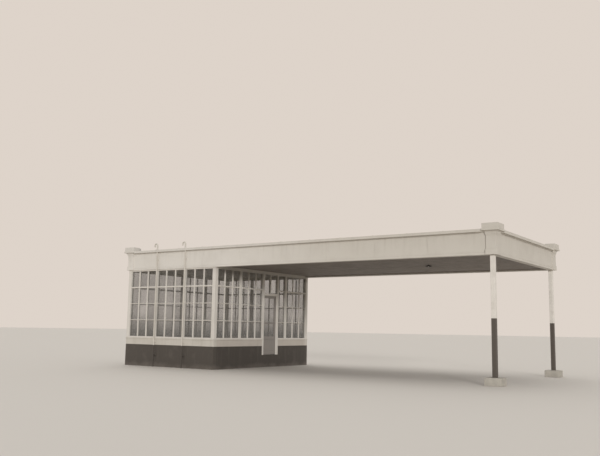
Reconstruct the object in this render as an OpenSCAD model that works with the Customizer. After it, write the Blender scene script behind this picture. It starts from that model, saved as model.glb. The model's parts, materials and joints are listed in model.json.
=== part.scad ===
// Filling station canopy: a long flat roof with a boxed white fascia, a glazed showroom under
// one end and an open drive-through bay under the other, carried by two square posts.
// Millimetres. +X runs along the front, +Y to the rear, +Z up. The origin is on the ground,
// in the middle of the plan.

/* [Roof] */
// Length of the roof along the front, over the fascia faces
roof_l = 15400; // [13500:50:17500]
// Depth of the roof from front to rear, over the fascia faces
roof_d = 6270; // [5600:10:7000]
// Clear height from the drive to the underside of the fascia
drive_clear = 3560; // [3200:10:3900]
// Height of the drive above the lowest ground beside the showroom
drive_h = 235; // [180:5:400]
// Height of the fascia from its underside to the underside of the cornice
fascia_h = 680; // [500:10:900]
// Thickness of the boxed fascia, with the edge beam in it
fascia_t = 200; // [190:5:280]
// Height of the bead along the foot of the fascia
bead_h = 70; // [40:5:120]
// How far that bead stands out
bead_out = 18; // [8:1:30]
// Radius of the moulding under the cornice
bed_r = 45; // [25:5:70]
// Height of the cornice
cornice_h = 105; // [80:5:160]
// How far the cornice stands out
cornice_out = 120; // [90:5:180]
// How far the soffit lies above the underside of the fascia
soffit_up = 70; // [40:5:120]
// Thickness of the soffit lining
soffit_t = 25; // [15:1:40]
// Thickness of the roof deck
deck_t = 45; // [30:5:80]
// How far the deck lies below the top of the fascia at the front
deck_down = 80; // [60:5:140]
// Fall of the deck from front to rear
deck_fall = 60; // [20:5:120]

/* [Corner pilasters] */
// Width of a pilaster on the front and rear faces
pilaster_w = 280; // [240:10:400]
// Width of a pilaster on the side faces
pilaster_side_w = 340; // [260:10:440]
// How far a pilaster stands out of the fascia
pilaster_out = 28; // [20:1:60]
// Height of the foot band of a pilaster
foot_h = 160; // [80:5:240]
// Height of the neck moulding
neck_h = 110; // [80:5:160]
// How far the foot band and the neck moulding stand out of the pilaster
band_out = 20; // [12:1:30]
// Height of the cap block
cap_h = 225; // [160:5:300]
// How far the underside of the cap block lies above that of the cornice
cap_up = 30; // [20:1:50]
// How far the cap block stands out of the fascia
cap_out = 150; // [130:5:200]
// How far the cap block reaches past the pilaster along the fascia
cap_side = 110; // [80:5:140]
// Height of the lower course of the cap block
cap_foot_h = 60; // [30:5:90]
// How far the upper course steps back
cap_step = 22; // [10:1:35]
// How far the cap block and the cornice reach behind the fascia
coping_in = 20; // [10:1:40]

/* [Canopy posts] */
// Side of a square canopy post
post_w = 135; // [120:5:180]
// From the fascia face to the middle of a post
post_in = 125; // [100:5:130]
// Side of a post footing
footing_w = 500; // [320:10:510]

/* [Lamp and vent pipes] */
// From the right end of the roof to the middle of the lamp under the soffit
lamp_in = 3540; // [3000:10:4200]
// Radius of the lamp's reflector
lamp_r = 120; // [90:5:160]
// Depth of the lamp
lamp_h = 62; // [50:1:65]
// Radius of a vent pipe
pipe_r = 27; // [20:1:30]
// How far the bend of a vent pipe rises above the cornice
pipe_up = 250; // [180:5:320]
// Radius of that bend, to the middle of the pipe
pipe_bend = 70; // [65:5:120]
// How far a vent pipe stands to the right of the middle of its bay post
pipe_beside = 80; // [0:5:120]
// Height of a pipe clip
clip_h = 40; // [25:5:60]

/* [Showroom] */
// Length of the showroom along the front
room_l = 4645; // [4200:5:5400]
// How far its walls stand inside the faces of the fascia
wall_in = 20; // [0:5:70]
// Side of a corner post of the showroom
corner_w = 155; // [130:5:180]
// Thickness of the plinth and of the band under the windows
wall_t = 180; // [150:5:240]
// Height of the plinth above the lowest ground
plinth_h = 840; // [700:10:900]
// Height of the band from the plinth to the window sills
band_h = 265; // [200:5:450]
// Height of the nosing along the top of the band
nosing_h = 35; // [25:1:50]
// How far the nosing stands out of the band
nosing_out = 18; // [10:1:25]
// Height of the floor above the drive
floor_up = 250; // [150:10:300]
// Thickness of the floor slab
floor_t = 150; // [100:10:180]

/* [Windows] */
// Depth of the window frames and bay posts
frame_t = 120; // [90:5:140]
// Width of a bay post
bay_post_w = 105; // [80:5:140]
// Width of an upright glazing bar
bar_w = 36; // [24:1:60]
// Height of the transom under the top row of panes
transom_h = 48; // [30:1:70]
// Height of the thin cross bars below the transom
cross_h = 20; // [12:1:36]
// Depth of a glazing bar
bar_t = 35; // [25:1:50]
// How far the glazing bars lie behind the face of the frame
bar_in = 15; // [5:1:25]
// Height of the sill rail and the head rail
rail_h = 50; // [40:5:90]
// Number of bays in the front and rear walls
front_bays = 3; // [2:1:5]
// Number of bays in the left wall
side_bays = 4; // [2:1:6]
// Number of lights in a bay
bay_lights = 3; // [2:1:4]
// Number of rows of panes
pane_rows = 4; // [2:1:6]
// Thickness of the glass
glass_t = 6; // [4:1:10]

/* [Door] */
// From the front of the showroom to the middle of the post beside the door
door_post_in = 3015; // [2700:5:3200]
// Width of the door opening
door_w = 900; // [800:5:1000]
// Width of the jamb on the side of the sidelight
jamb_w = 80; // [60:5:120]
// Height of the door opening above the floor
door_h = 2400; // [2000:10:2600]
// Height of the head bar over the door
head_h = 80; // [50:5:120]
// Thickness of the door leaf
leaf_t = 45; // [38:1:55]
// Clearance round the door leaf
leaf_gap = 8; // [7:1:12]
// Width of a door stile and of the top rail
stile_w = 95; // [70:5:120]
// Height of the bottom rail
bottom_rail_h = 150; // [100:5:220]
// Height of the middle of the lock rail above the floor
lock_rail_up = 680; // [600:10:1000]
// Height of the lock rail
lock_rail_h = 110; // [80:5:160]
// Height of the glazing bar of the door above the floor
door_bar_up = 1270; // [1100:10:1600]
// Height of that glazing bar
door_bar_h = 40; // [25:5:60]
// Thickness of the door panel
panel_t = 20; // [12:1:30]
// Depth of the door stop
stop_t = 24; // [15:1:35]
// How far the door stop laps over the leaf
stop_lap = 8; // [5:1:14]
// Radius of a hinge knuckle
knuckle_r = 8; // [6:0.5:10]
// Radius of a hinge pin
pin_r = 4; // [3:0.5:5]
// Height of a hinge
hinge_h = 100; // [80:5:130]
// From the end of the leaf to the middle of the nearest hinge
hinge_in = 200; // [150:10:300]
// Width of a hinge plate
plate_w = 38; // [25:1:45]
// Thickness of a hinge plate
plate_t = 3; // [2:0.5:4]
// Height of the door knob above the floor
knob_up = 960; // [850:10:1100]
// Radius of the door knob
knob_r = 28; // [20:1:34]

/* [Hidden] */

$fn = 48;
eps = 1;

// The roof in plan and its levels
left = -roof_l / 2;
right = roof_l / 2;
front = -roof_d / 2;
rear = roof_d / 2;
fascia_z = drive_h + drive_clear;
cornice_z = fascia_z + fascia_h;
soffit_z = fascia_z + soffit_up;
deck_z = cornice_z - deck_down;
neck_z = cornice_z - neck_h;
cap_z = cornice_z + cap_up;

// The showroom in plan and its levels
room_left = left + wall_in;
room_right = room_left + room_l;
room_front = front + wall_in;
room_rear = rear - wall_in;
floor_z = drive_h + floor_up;
sill_z = plinth_h + band_h;
front_pitch = (room_l - corner_w) / front_bays;
side_pitch = (room_rear - room_front - corner_w) / side_bays;

// The doorway in the right wall, and the bay posts halfway from it to the corner posts
door_post_mid = room_front + door_post_in;
door_from = door_post_mid - bay_post_w / 2;
door_front_y = door_post_mid + bay_post_w / 2;
door_rear_y = door_front_y + door_w;
door_to = door_rear_y + jamb_w;
right_front_mid = (room_front + corner_w / 2 + door_post_mid) / 2;
right_rear_mid = (room_rear - corner_w / 2 + door_post_mid) / 2;
head_z = floor_z + door_h;
leaf_in = room_right - frame_t;
leaf_w = door_rear_y - door_front_y - 2 * leaf_gap;
leaf_h = head_z - floor_z - 2 * leaf_gap;
leaf_y = door_front_y + leaf_gap;
leaf_z = floor_z + leaf_gap;
stop_x = leaf_in + leaf_t + 6;

// The door hinges, on the inner side of the rear jamb
pin_x = leaf_in - knuckle_r - 2;
pin_y = door_rear_y - leaf_gap / 2;
knuckle_h = hinge_h / 3;
running = 0.05;
hinge_zs = [leaf_z + hinge_in, leaf_z + leaf_h / 2, leaf_z + leaf_h - hinge_in];

white = [0.86, 0.83, 0.76];
black = [0.16, 0.15, 0.14];
grey = [0.45, 0.43, 0.40];
concrete = [0.62, 0.60, 0.55];
tar = [0.22, 0.21, 0.20];
glass = [0.75, 0.82, 0.84, 0.35];
iron = [0.25, 0.24, 0.23];

// A box between two opposite corners
module block(a, b) {
    translate(a) cube(b - a);
}

// The floor of the showroom
module floor_slab() {
    color(concrete)
        block([room_left + wall_t, room_front + wall_t, floor_z - floor_t],
              [room_right - wall_t, room_rear - wall_t, floor_z]);
}

// One straight length of the showroom's low wall, between two heights. It stands out by out.
// side is 0 for the front, 1 for the left, 2 for the rear and 3 for the right.
module wall_length(side, from, to, z0, z1, out = 0) {
    if (side == 0) block([from, room_front - out, z0], [to, room_front + wall_t, z1]);
    if (side == 1) block([room_left - out, from, z0], [room_left + wall_t, to, z1]);
    if (side == 2) block([from, room_rear - wall_t, z0], [to, room_rear + out, z1]);
    if (side == 3) block([room_right - wall_t, from, z0], [room_right + out, to, z1]);
}

// One length of the band under the windows. The nosing along its top stands out, and runs on
// past both ends of the band by past, to turn the corners of the room.
module band(side, from, to, past = 0) {
    color(white) {
        wall_length(side, from, to, plinth_h, sill_z);
        wall_length(side, from - past, to + past, sill_z - nosing_h, sill_z, nosing_out);
    }
}

// The front and rear walls run from end to end, and the side walls stand between them
between = [room_front + wall_t, room_rear - wall_t];
module plinth_front() { color(black) wall_length(0, room_left, room_right, 0, plinth_h); }
module plinth_rear() { color(black) wall_length(2, room_left, room_right, 0, plinth_h); }
module plinth_left() { color(black) wall_length(1, between[0], between[1], 0, plinth_h); }
module plinth_right_front() { color(black) wall_length(3, between[0], door_from, 0, plinth_h); }
module plinth_right_rear() { color(black) wall_length(3, door_to, between[1], 0, plinth_h); }
module plinth_under_door() { color(black) wall_length(3, door_from, door_to, 0, floor_z); }

module band_front() { band(0, room_left, room_right, nosing_out); }
module band_rear() { band(2, room_left, room_right, nosing_out); }
module band_left() { band(1, between[0], between[1]); }
module band_right_front() { band(3, between[0], door_from); }
module band_right_rear() { band(3, door_to, between[1]); }

// The four corner posts of the showroom, from the sills to the fascia
module corner_posts() {
    color(white)
        for (x = [room_left, room_right - corner_w], y = [room_front, room_rear - corner_w])
            block([x, y, sill_z], [x + corner_w, y + corner_w, fascia_z]);
}

// Stands a window that is drawn flat, along +X and up +Y with its face at Z = 0, in its wall
module in_wall(side) {
    if (side == 0) translate([0, room_front, 0]) rotate([90, 0, 0]) children();
    if (side == 1) translate([room_left, 0, 0]) rotate([90, 0, -90]) children();
    if (side == 2) translate([0, room_rear, 0]) rotate([90, 0, 180]) children();
    if (side == 3) translate([room_right, 0, 0]) rotate([90, 0, 90]) children();
}

// The clear openings of a run of bays: [from, to] of each, between posts at the given middles
function bay_spans(mids, first, last) = [for (i = [0 : len(mids)])
    [i == 0 ? first : mids[i - 1] + bay_post_w / 2,
     i == len(mids) ? last : mids[i] - bay_post_w / 2]];

// One window: a deep frame with bay posts, and thin bars set back in each bay.
// spans are the clear openings, lights how many lights each has.
module window(from, to, spans, lights, z0, z1, foot = rail_h) {
    low = z0 + foot;
    high = z1 - rail_h;
    row = (high - low) / pane_rows;
    translate([0, 0, -frame_t])
        linear_extrude(frame_t)
            difference() {
                translate([from, z0]) square([to - from, z1 - z0]);
                for (s = spans)
                    translate([s[0], low]) square([s[1] - s[0], high - low]);
            }
    translate([0, 0, -bar_in - bar_t])
        linear_extrude(bar_t)
            intersection() {
                translate([from, z0]) square([to - from, z1 - z0]);
                for (s = spans) {
                    step = (s[1] - s[0] + bar_w) / lights;
                    for (i = [1 : 1 : lights - 1])
                        translate([s[0] + i * step - bar_w, low - eps])
                            square([bar_w, high - low + 2 * eps]);
                    for (i = [1 : 1 : pane_rows - 1]) {
                        h = i == pane_rows - 1 ? transom_h : cross_h;
                        translate([s[0] - eps, low + i * row - h / 2])
                            square([s[1] - s[0] + 2 * eps, h]);
                    }
                }
            }
}

// The sheets of glass of one window, just behind its thin bars
module panes(spans, z0, z1, foot = rail_h) {
    translate([0, 0, -bar_in - bar_t - glass_t])
        linear_extrude(glass_t)
            for (s = spans)
                translate([s[0], z0 + foot]) square([s[1] - s[0], z1 - rail_h - z0 - foot]);
}

// Where the windows begin and end, and their bays
front_mids = [for (i = [1 : front_bays - 1]) room_left + corner_w / 2 + i * front_pitch];
side_mids = [for (i = [1 : side_bays - 1]) room_front + corner_w / 2 + i * side_pitch];
front_from = room_left + corner_w;
front_to = room_right - corner_w;
side_from = room_front + corner_w;
side_to = room_rear - corner_w;
front_spans = bay_spans(front_mids, front_from, front_to);
side_spans = bay_spans(side_mids, side_from, side_to);
right_front_spans = bay_spans([right_front_mid], side_from, door_from);
right_rear_spans = bay_spans([right_rear_mid], door_to, side_to);

// Turns the openings of a wall round, as they are met in the rear and left walls
function turned(spans) = [for (s = spans) [-s[1], -s[0]]];

module window_front() {
    color(white) in_wall(0) window(front_from, front_to, front_spans, bay_lights, sill_z, fascia_z);
}
module window_rear() {
    color(white) in_wall(2)
        window(-front_to, -front_from, turned(front_spans), bay_lights, sill_z, fascia_z);
}
module window_left() {
    color(white) in_wall(1)
        window(-side_to, -side_from, turned(side_spans), bay_lights, sill_z, fascia_z);
}
module window_right_front() {
    color(white) in_wall(3)
        window(side_from, door_from, right_front_spans, bay_lights, sill_z, fascia_z);
}
module window_right_rear() {
    color(white) in_wall(3) {
        window(door_to, right_rear_mid + eps, [right_rear_spans[0]], 1, sill_z, fascia_z);
        window(right_rear_mid, side_to, [right_rear_spans[1]], bay_lights, sill_z, fascia_z);
    }
}

module glass_front() { color(glass) in_wall(0) panes(front_spans, sill_z, fascia_z); }
module glass_rear() { color(glass) in_wall(2) panes(turned(front_spans), sill_z, fascia_z); }
module glass_left() { color(glass) in_wall(1) panes(turned(side_spans), sill_z, fascia_z); }
module glass_right() {
    color(glass) in_wall(3) {
        panes(right_front_spans, sill_z, fascia_z);
        panes(right_rear_spans, sill_z, fascia_z);
        panes([[door_front_y, door_rear_y]], head_z, fascia_z, head_h);
    }
}

// The beam between the fascias that the showroom's right wall ends under
module room_beam() {
    color(white)
        block([leaf_in, front + fascia_t, fascia_z], [room_right, rear - fascia_t, soffit_z]);
}

// The two jambs of the doorway, from the threshold to the beam, each with its door stop
module door_jambs() {
    color(white) {
        block([leaf_in, door_from, floor_z], [room_right, door_front_y, fascia_z]);
        block([stop_x, door_front_y - eps, floor_z],
              [stop_x + stop_t, door_front_y + leaf_gap + stop_lap, head_z]);
        block([leaf_in, door_rear_y, floor_z], [room_right, door_to, fascia_z]);
        block([stop_x, door_rear_y - leaf_gap - stop_lap, floor_z],
              [stop_x + stop_t, door_rear_y + eps, head_z]);
    }
}

// The head bar over the door with its stop, and the two lights above it
module fanlight() {
    low = head_z + head_h;
    high = fascia_z - rail_h;
    color(white) {
        in_wall(3) {
            translate([0, 0, -frame_t])
                linear_extrude(frame_t)
                    difference() {
                        translate([door_front_y, head_z])
                            square([door_rear_y - door_front_y, fascia_z - head_z]);
                        translate([door_front_y - eps, low])
                            square([door_rear_y - door_front_y + 2 * eps, high - low]);
                    }
            translate([0, 0, -bar_in - bar_t])
                linear_extrude(bar_t)
                    translate([(door_front_y + door_rear_y - bar_w) / 2, low - eps])
                        square([bar_w, high - low + 2 * eps]);
        }
        block([stop_x, door_front_y + leaf_gap + stop_lap, head_z - leaf_gap - stop_lap],
              [stop_x + stop_t, door_rear_y - leaf_gap - stop_lap, head_z + eps]);
    }
}

// The plate of one hinge, on the side of the pin that dir points to
module hinge_plate(dir) {
    gap = leaf_gap / 2;
    block([leaf_in - plate_t, min(pin_y + dir * gap, pin_y + dir * (gap + plate_w)), 0],
          [leaf_in, max(pin_y + dir * gap, pin_y + dir * (gap + plate_w)), hinge_h]);
}

// The arm that joins a knuckle to its plate
module hinge_arm(dir, z0, z1) {
    block([leaf_in - plate_t, min(pin_y, pin_y + dir * (leaf_gap / 2 + eps)), z0],
          [leaf_in - plate_t + 1.5, max(pin_y, pin_y + dir * (leaf_gap / 2 + eps)), z1]);
}

module knuckle(z0, z1) {
    translate([pin_x, pin_y, z0]) cylinder(r = knuckle_r, h = z1 - z0);
}

// The fixed half of each hinge: plate, upper and lower knuckle, and the pin
module frame_hinges() {
    color(iron)
        for (z = hinge_zs)
            translate([0, 0, z - hinge_h / 2]) {
                hinge_plate(1);
                for (k = [[0, knuckle_h - 0.5], [hinge_h - knuckle_h + 0.5, hinge_h]]) {
                    hinge_arm(1, k[0], k[1]);
                    knuckle(k[0], k[1]);
                }
                translate([pin_x, pin_y, 0]) cylinder(r = pin_r, h = hinge_h);
            }
}

// The half of each hinge on the leaf: plate and middle knuckle
module door_hinges() {
    color(iron)
        for (z = hinge_zs)
            translate([0, 0, z - hinge_h / 2])
                difference() {
                    union() {
                        hinge_plate(-1);
                        hinge_arm(-1, knuckle_h, hinge_h - knuckle_h);
                        knuckle(knuckle_h, hinge_h - knuckle_h);
                    }
                    translate([pin_x, pin_y, -1]) cylinder(r = pin_r + running, h = hinge_h + 2);
                }
}

// Heights of the rails of the leaf
panel_low = leaf_z + bottom_rail_h;
panel_high = floor_z + lock_rail_up - lock_rail_h / 2;
light_low = floor_z + lock_rail_up + lock_rail_h / 2;
light_high = leaf_z + leaf_h - stile_w;

// The frame of the door leaf: two stiles, three rails and one glazing bar
module door_leaf() {
    color(grey)
        translate([leaf_in, leaf_y, 0]) rotate([90, 0, 90])
            linear_extrude(leaf_t)
                difference() {
                    translate([0, leaf_z]) square([leaf_w, leaf_h]);
                    translate([stile_w, panel_low])
                        square([leaf_w - 2 * stile_w, panel_high - panel_low]);
                    translate([stile_w, light_low])
                        square([leaf_w - 2 * stile_w, floor_z + door_bar_up - door_bar_h / 2 - light_low]);
                    translate([stile_w, floor_z + door_bar_up + door_bar_h / 2])
                        square([leaf_w - 2 * stile_w,
                            light_high - floor_z - door_bar_up - door_bar_h / 2]);
                }
}

// A sheet that fills part of the leaf's frame, in the middle of its thickness
module leaf_infill(z0, z1, t) {
    block([leaf_in + (leaf_t - t) / 2, leaf_y + stile_w, z0],
          [leaf_in + (leaf_t + t) / 2, leaf_y + leaf_w - stile_w, z1]);
}

module door_panel() { color(grey) leaf_infill(panel_low, panel_high, panel_t); }

module door_glass() {
    color(glass) {
        leaf_infill(light_low, floor_z + door_bar_up - door_bar_h / 2, glass_t);
        leaf_infill(floor_z + door_bar_up + door_bar_h / 2, light_high, glass_t);
    }
}

// A turned knob with its rose, along +Z from the face that it is fixed to
module knob() {
    rotate_extrude() {
        square([knob_r * 0.9, 4]);
        translate([0, 3]) square([knob_r * 0.35, knob_r]);
        intersection() {
            translate([0, knob_r + 14]) scale([1, 0.7]) circle(knob_r);
            square([knob_r + 1, 3 * knob_r]);
        }
    }
}

// One knob on each face of the leaf
module door_knobs() {
    y = leaf_y + stile_w / 2;
    z = floor_z + knob_up;
    color(iron) {
        translate([leaf_in + leaf_t, y, z]) rotate([0, 90, 0]) knob();
        translate([leaf_in, y, z]) rotate([0, -90, 0]) knob();
    }
}

// A canopy post, from its footing to the underside of the fascia
module canopy_post(y) {
    color(white)
        block([right - post_in - post_w / 2, y - post_w / 2, drive_h],
              [right - post_in + post_w / 2, y + post_w / 2, fascia_z]);
}
module canopy_post_front() { canopy_post(front + post_in); }
module canopy_post_rear() { canopy_post(rear - post_in); }

// The footings of the canopy posts, down to the lowest ground
module post_footings() {
    color(concrete)
        for (y = [front + post_in, rear - post_in])
            block([right - post_in - footing_w / 2, y - footing_w / 2, 0],
                  [right - post_in + footing_w / 2, y + footing_w / 2, drive_h]);
}

// Section of the fascia: +X is outward from its face, +Y is up from its foot
module fascia_section() {
    translate([-fascia_t, 0]) square([fascia_t, fascia_h]);
    translate([-eps, 0]) square([bead_out + eps, bead_h - bead_out]);
    translate([0, bead_h - bead_out]) intersection() {
        circle(bead_out);
        translate([-eps, 0]) square(bead_out + eps);
    }
    difference() {
        translate([-eps, fascia_h - bed_r]) square([bed_r + eps, bed_r]);
        translate([bed_r, fascia_h - bed_r]) circle(bed_r);
    }
}

// Section of the cornice, with the coping over the fascia: +Y is up from the top of the fascia
module cornice_section() {
    fall = 20;
    lip = 12;
    cove = 30;
    difference() {
        polygon([[-fascia_t - coping_in, 0], [cornice_out, 0], [cornice_out, cornice_h - fall],
                 [-fascia_t - coping_in, cornice_h]]);
        translate([cornice_out - lip - cove, 0]) circle(cove / 2);
    }
}

// Runs a section along one side of the roof, between two places on that side
module along(side, from, to) {
    if (side == 0) translate([from, front, 0]) rotate([90, 0, 90]) mirror([1, 0, 0])
        linear_extrude(to - from) children();
    if (side == 2) translate([from, rear, 0]) rotate([90, 0, 90])
        linear_extrude(to - from) children();
    if (side == 1) translate([left, to, 0]) rotate([90, 0, 0]) mirror([1, 0, 0])
        linear_extrude(to - from) children();
    if (side == 3) translate([right, to, 0]) rotate([90, 0, 0])
        linear_extrude(to - from) children();
}

module fascia(side, from, to) {
    color(white) translate([0, 0, fascia_z]) along(side, from, to) fascia_section();
}
front_end = right - pilaster_w - band_out;
side_end = rear - pilaster_side_w - band_out;
module fascia_front() { fascia(0, -front_end, front_end); }
module fascia_rear() { fascia(2, -front_end, front_end); }
module fascia_left() { fascia(1, -side_end, side_end); }
module fascia_right() { fascia(3, -side_end, side_end); }

// The cornice: one length on each side, between the cap blocks, with holes for the vent pipes
module cornice() {
    long_end = right - pilaster_w - cap_side;
    short_end = rear - pilaster_side_w - cap_side;
    color(white) difference() {
        translate([0, 0, cornice_z]) {
            for (side = [0, 2]) along(side, -long_end, long_end) cornice_section();
            for (side = [1, 3]) along(side, -short_end, short_end) cornice_section();
        }
        for (x = pipe_xs)
            translate([x, pipe_y, cornice_z - eps]) cylinder(r = pipe_r, h = cornice_h + 2 * eps);
    }
}

// Places a corner piece drawn for the front left corner, with the corner at the origin
module at_corner(x_end, y_end) {
    translate([x_end == 0 ? left : right, y_end == 0 ? front : rear, 0])
        mirror([x_end, 0, 0]) mirror([0, y_end, 0]) children();
}

// One slab of an angle in plan that wraps the corner. It stands out of the fascia by out, runs
// on past the width of the pilaster by past on both faces, and reaches behind the fascia by in.
module corner_angle(out, past, z0, z1, in = 0) {
    reach = [pilaster_w + past, pilaster_side_w + past];
    translate([0, 0, z0])
        linear_extrude(z1 - z0)
            difference() {
                translate([-out, -out]) square(reach + [out, out]);
                translate([fascia_t + in, fascia_t + in]) square(reach);
            }
}

// A corner pilaster: backing between the fascias, shaft, foot band, neck moulding in two
// steps, and the filling under the cap block
module corner_pilasters() {
    half_out = band_out / 2;
    color(white)
        for (x_end = [0, 1], y_end = [0, 1])
            at_corner(x_end, y_end) {
                corner_angle(0, band_out, fascia_z, cornice_z);
                corner_angle(pilaster_out, 0, fascia_z, cap_z);
                corner_angle(pilaster_out + band_out, band_out, fascia_z, fascia_z + foot_h);
                corner_angle(pilaster_out + half_out, half_out, neck_z, cap_z);
                corner_angle(pilaster_out + band_out, band_out, neck_z + neck_h / 2, cap_z);
                corner_angle(0, cap_side, cornice_z, cap_z, coping_in);
            }
}

// The cap block on each pilaster: a lower course and an upper course that steps back
module corner_caps() {
    color(white)
        for (x_end = [0, 1], y_end = [0, 1])
            at_corner(x_end, y_end) {
                corner_angle(cap_out, cap_side, cap_z, cap_z + cap_foot_h, coping_in);
                corner_angle(cap_out - cap_step, cap_side - cap_step, cap_z, cap_z + cap_h, coping_in);
            }
}

// The lamp under the soffit: a rose, a short neck and a flared reflector
module soffit_lamp() {
    neck_r = lamp_r / 4;
    rim_t = 6;
    color(iron)
        translate([right - lamp_in, 0, soffit_z - lamp_h])
            rotate_extrude()
                polygon([[0, lamp_h], [lamp_r / 2, lamp_h], [lamp_r / 2, lamp_h * 0.85],
                         [neck_r, lamp_h * 0.8], [neck_r, lamp_h * 0.6], [lamp_r * 0.7, lamp_h * 0.35],
                         [lamp_r, rim_t], [lamp_r, 0], [lamp_r - rim_t, 0],
                         [lamp_r * 0.65, lamp_h * 0.3], [0, lamp_h * 0.5]]);
}

// The vent pipes in plan: clear of the moulding under the cornice by the last figure
pipe_y = front - bed_r - pipe_r - 5;
pipe_xs = [for (x = front_mids) x + pipe_beside];

// The vent pipes: one stands on the ground in front of each bay post of the front wall, passes
// through the cornice and ends in a bend with its mouth down. Clips hold it to the plinth, the
// band and the fascia.
module vent_pipes() {
    bend_z = cornice_z + cornice_h + pipe_up - pipe_bend - pipe_r;
    mouth_h = 60;
    color(white)
        for (x = pipe_xs) {
            translate([x, pipe_y, 0]) cylinder(r = pipe_r, h = bend_z);
            translate([x - pipe_bend, pipe_y, bend_z]) rotate([90, 0, 0])
                intersection() {
                    rotate_extrude() translate([pipe_bend, 0]) circle(pipe_r);
                    translate([-pipe_bend - pipe_r - eps, 0, -pipe_r - eps])
                        cube([2 * (pipe_bend + pipe_r + eps), pipe_bend + pipe_r + eps, 2 * (pipe_r + eps)]);
                }
            translate([x - 2 * pipe_bend, pipe_y, bend_z - mouth_h]) cylinder(r = pipe_r, h = mouth_h);
            for (z = [plinth_h / 2, plinth_h + band_h / 3, fascia_z + fascia_h / 2]) {
                held_by = z < fascia_z ? room_front : front;
                block([x - pipe_r, pipe_y, z], [x + pipe_r, held_by, z + clip_h]);
            }
        }
}

// The lining under the roof
module soffit() {
    color(black)
        block([left + fascia_t, front + fascia_t, soffit_z],
              [right - fascia_t, rear - fascia_t, soffit_z + soffit_t]);
}

// The roof deck, which falls to the rear between the fascias
module roof_deck() {
    y0 = front + fascia_t;
    y1 = rear - fascia_t;
    color(tar)
        translate([left + fascia_t, 0, 0]) rotate([90, 0, 90])
            linear_extrude(roof_l - 2 * fascia_t)
                polygon([[y0, deck_z - deck_t], [y1, deck_z - deck_fall - deck_t],
                         [y1, deck_z - deck_fall], [y0, deck_z]]);
}

floor_slab();
plinth_front();
plinth_left();
plinth_rear();
plinth_right_front();
plinth_right_rear();
plinth_under_door();
band_front();
band_left();
band_rear();
band_right_front();
band_right_rear();
corner_posts();
window_front();
window_left();
window_rear();
window_right_front();
window_right_rear();
glass_front();
glass_left();
glass_rear();
glass_right();
door_jambs();
fanlight();
frame_hinges();
door_leaf();
door_panel();
door_glass();
door_knobs();
door_hinges();
canopy_post_front();
canopy_post_rear();
post_footings();
room_beam();
fascia_front();
fascia_right();
fascia_rear();
fascia_left();
cornice();
corner_pilasters();
corner_caps();
soffit();
roof_deck();
soffit_lamp();
vent_pipes();
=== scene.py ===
import json
import math
import random

import bmesh
import bpy
from mathutils import Matrix, Vector


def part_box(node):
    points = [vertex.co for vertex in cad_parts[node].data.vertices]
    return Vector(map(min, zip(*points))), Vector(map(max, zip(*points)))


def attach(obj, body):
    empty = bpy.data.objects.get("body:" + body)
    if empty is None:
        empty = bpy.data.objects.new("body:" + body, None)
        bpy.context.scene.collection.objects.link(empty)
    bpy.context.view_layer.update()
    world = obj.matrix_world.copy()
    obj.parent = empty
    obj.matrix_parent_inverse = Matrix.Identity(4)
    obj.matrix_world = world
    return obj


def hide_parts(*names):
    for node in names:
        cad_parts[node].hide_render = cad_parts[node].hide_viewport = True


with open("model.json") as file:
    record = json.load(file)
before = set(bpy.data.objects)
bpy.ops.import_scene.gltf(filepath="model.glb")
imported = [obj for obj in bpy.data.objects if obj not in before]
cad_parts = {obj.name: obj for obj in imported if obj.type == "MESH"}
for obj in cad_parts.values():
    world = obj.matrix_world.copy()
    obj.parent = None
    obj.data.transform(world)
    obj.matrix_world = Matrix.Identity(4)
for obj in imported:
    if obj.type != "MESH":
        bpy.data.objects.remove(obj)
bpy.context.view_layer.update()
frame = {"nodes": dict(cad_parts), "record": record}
nodes = frame["nodes"]

# The camera that the photograph was taken with, fitted to the building's straight edges
FOCAL_PX = 735.5
FRAME_PX = 600
SENSOR_MM = 36
YAW = 0.59857
PITCH = 0.13750
ROLL = 0.01659
CAMERA_AT = (15.027, -24.057, 1.512)
CAMERA_REACH = 1000

# Colours, linear
WHITE = (0.68, 0.635, 0.575)
WHITE_ROOF = (0.63, 0.59, 0.535)
WHITE_TOP = (0.58, 0.543, 0.492)
WHITE_DARKER_END = (0.54, 0.50, 0.44)
WHITE_FRAME = (0.61, 0.57, 0.515)
WHITE_DULL = (0.53, 0.49, 0.43)
# Painted shade: a darker copy of the band's white for the door's wall, which stands deeper in the
# roof's shade
WHITE_SIDE_SHADED = (0.48, 0.43, 0.375)
# Painted shade: the canopy's deep shade on the top of the door's wall, put into the frames' colour
WHITE_PAINTED_SHADE = (0.42, 0.385, 0.34)
GRIME = (0.30, 0.26, 0.21)
BLACK = (0.068, 0.058, 0.049)
# Painted shade: a darker copy of the plinth's black for the door's wall, in the roof's shade
BLACK_SIDE_SHADED = (0.054, 0.046, 0.039)
BLACK_WORN = (0.088, 0.074, 0.062)
DUST = (0.30, 0.26, 0.22)
GREY = (0.235, 0.213, 0.192)
# Painted shade: the soffit boards over the bay are dark to stand for the canopy's deep shade
BOARD_PAINTED_SHADE = (0.195, 0.166, 0.143)
CEILING = (0.52, 0.475, 0.42)
CONCRETE = (0.40, 0.37, 0.32)
FELT = (0.055, 0.050, 0.047)
IRON = (0.045, 0.042, 0.040)
GLASS = (0.05, 0.048, 0.044)
GLASS_DUSTY = (0.14, 0.132, 0.12)
BULB = (0.75, 0.72, 0.66)
FLOOR = (0.62, 0.58, 0.53)
BACKDROP = (0.73, 0.655, 0.59)
STUDIO_LIGHT = (1.0, 0.99, 0.97)

# Strength of the even light, and the soft suns: name, azimuth and elevation in degrees, strength,
# and apparent size in degrees. Azimuth 0 is the front, 90 the right end.
STUDIO_STRENGTH = 0.40
SUNS = (("key", 42, 11.5, 2.1, 12), ("fill", 219, 40, 0.8, 60), ("top", 0, 89, 0.7, 60))

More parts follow.
